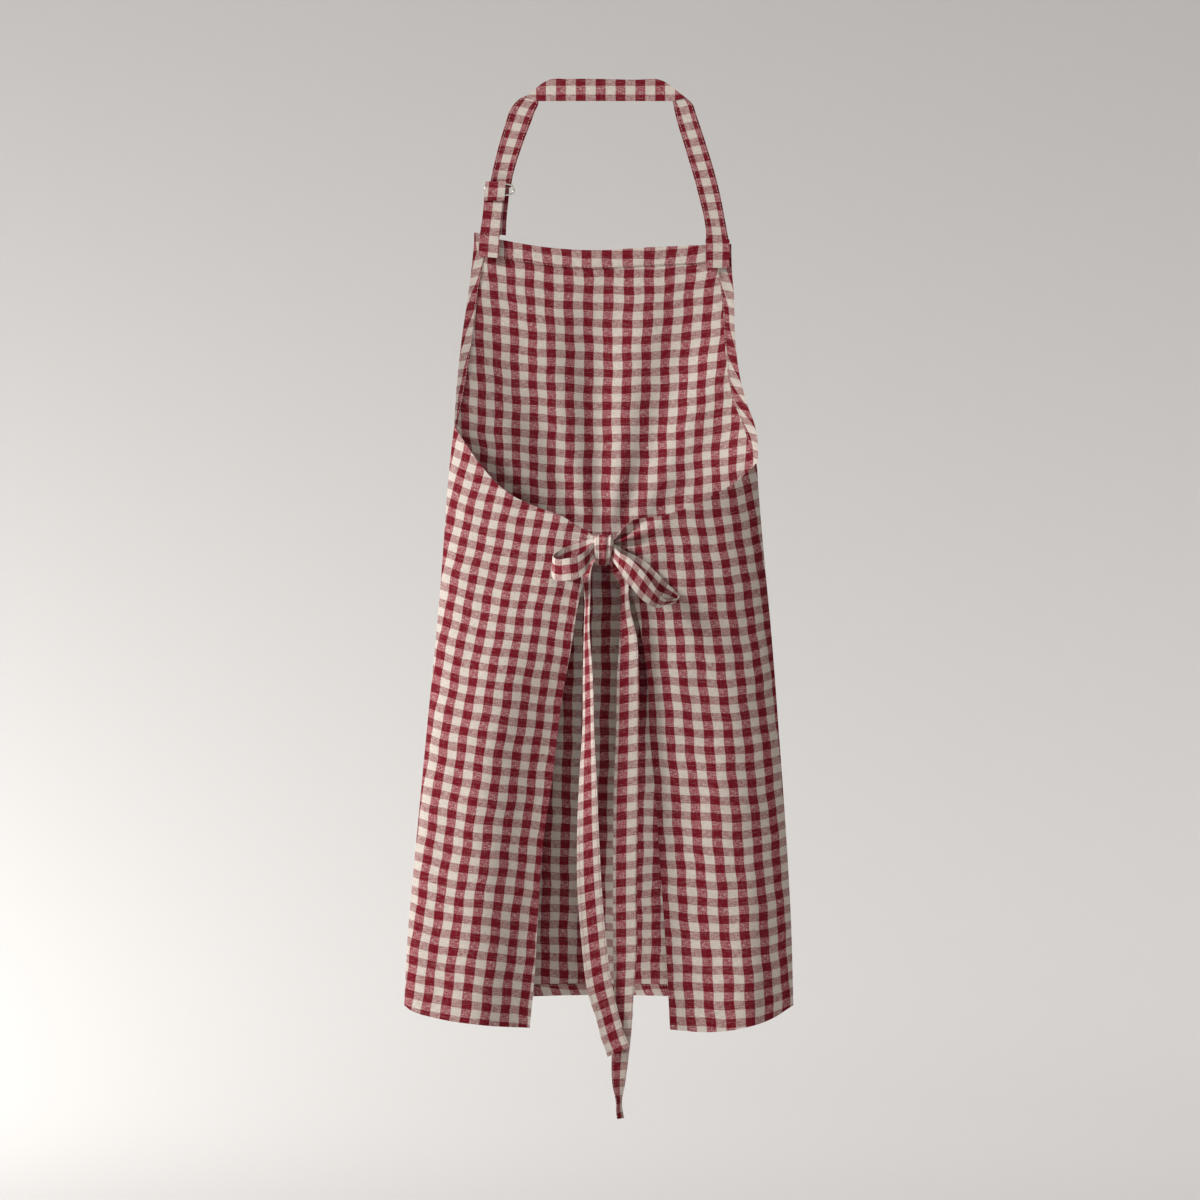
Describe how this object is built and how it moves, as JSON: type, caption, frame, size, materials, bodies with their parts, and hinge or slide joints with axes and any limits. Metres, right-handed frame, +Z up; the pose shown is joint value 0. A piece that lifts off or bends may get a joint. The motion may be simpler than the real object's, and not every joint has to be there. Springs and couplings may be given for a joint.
{
  "type": "bib apron",
  "caption": "Checked linen bib apron hanging by its neck strap, seen from the wearer's side, with its side wings folded in and tied in a bow.",
  "frame": {"origin": "middle of the neck strap's underside, where a peg or hook carries it", "axes": "+Z up, +X to the viewer's right as the wearer's side is seen, -Y out of the wearer's side towards the viewer"},
  "size_m": [0.4395, 0.075, 1.1754],
  "materials": {
    "linen": "plain-woven linen, burgundy and natural checks, matt",
    "band": "the same checked linen folded to a band and edge-stitched",
    "nickel": "bright nickel-plated wire"
  },
  "bodies": {
    "neck_strap": {"strap_run": "band", "strap_leg_left": "band", "strap_leg_right": "band", "strap_tab": "band"},
    "adjuster": {"ring_front": "nickel", "ring_back": "nickel"},
    "strap_end": {"strap_free_end": "band"},
    "bib_and_front": {"front_panel": "linen", "bib_top_hem": "linen", "armhole_hem_left": "linen", "armhole_hem_right": "linen", "front_hem": "linen", "strap_patch_right": "band", "tab_patch_left": "band"},
    "left_wing": {"wing_left": "linen", "wing_left_top_hem": "linen", "wing_left_side_hem": "linen", "wing_left_bottom_hem": "linen", "tie_lead_left": "band", "knot": "band"},
    "right_wing": {"wing_right": "linen", "wing_right_top_hem": "linen", "wing_right_side_hem": "linen", "wing_right_bottom_hem": "linen", "tie_lead_right": "band"},
    "left_loop": {"bow_loop_left": "band"},
    "right_loop": {"bow_loop_right": "band"},
    "left_tail": {"tie_tail_left": "band"},
    "right_tail": {"tie_tail_right": "band"}
  },
  "joints": [
    {"name": "bib_fold", "type": "hinge", "parent": "neck_strap", "child": "bib_and_front", "pos_m": [-0.01, -0.0046, -0.15705], "axis": [-1, 0, 0], "range_deg": [-45, 90]},
    {"name": "ring_tip", "type": "hinge", "parent": "neck_strap", "child": "adjuster", "pos_m": [-0.127, -0.0046, -0.0932], "axis": [-1, 0, 0], "range_deg": [0, 25]},
    {"name": "strap_end_lift", "type": "hinge", "parent": "neck_strap", "child": "strap_end", "pos_m": [-0.123, -0.0003, -0.0941], "axis": [1, 0, 0], "range_deg": [0, 110]},
    {"name": "left_wing_flare", "type": "hinge", "parent": "bib_and_front", "child": "left_wing", "pos_m": [-0.177, -0.00655, -0.366], "axis": [-0.0882, 0, -0.9961], "range_deg": [0, 10]},
    {"name": "right_wing_flare", "type": "hinge", "parent": "bib_and_front", "child": "right_wing", "pos_m": [0.164, -0.00655, -0.415], "axis": [-0.0668, 0, 0.9978], "range_deg": [0, 10]},
    {"name": "left_loop_swing", "type": "hinge", "parent": "left_wing", "child": "left_loop", "pos_m": [-0.0264, -0.0461, -0.5068], "axis": [0, 1, 0], "range_deg": [-20, 20]},
    {"name": "right_loop_swing", "type": "hinge", "parent": "left_wing", "child": "right_loop", "pos_m": [0.0056, -0.0461, -0.5068], "axis": [0, 1, 0], "range_deg": [-20, 20]},
    {"name": "left_tail_swing", "type": "hinge", "parent": "left_wing", "child": "left_tail", "pos_m": [-0.0222, -0.0363, -0.5283], "axis": [0, 1, 0], "range_deg": [-20, 20]},
    {"name": "right_tail_swing", "type": "hinge", "parent": "left_wing", "child": "right_tail", "pos_m": [0.0147, -0.034, -0.5363], "axis": [0, 1, 0], "range_deg": [-20, 20]}
  ],
  "couplings": [
    {"joint": "right_wing_flare", "follows": "left_wing_flare", "ratio": 1}
  ]
}
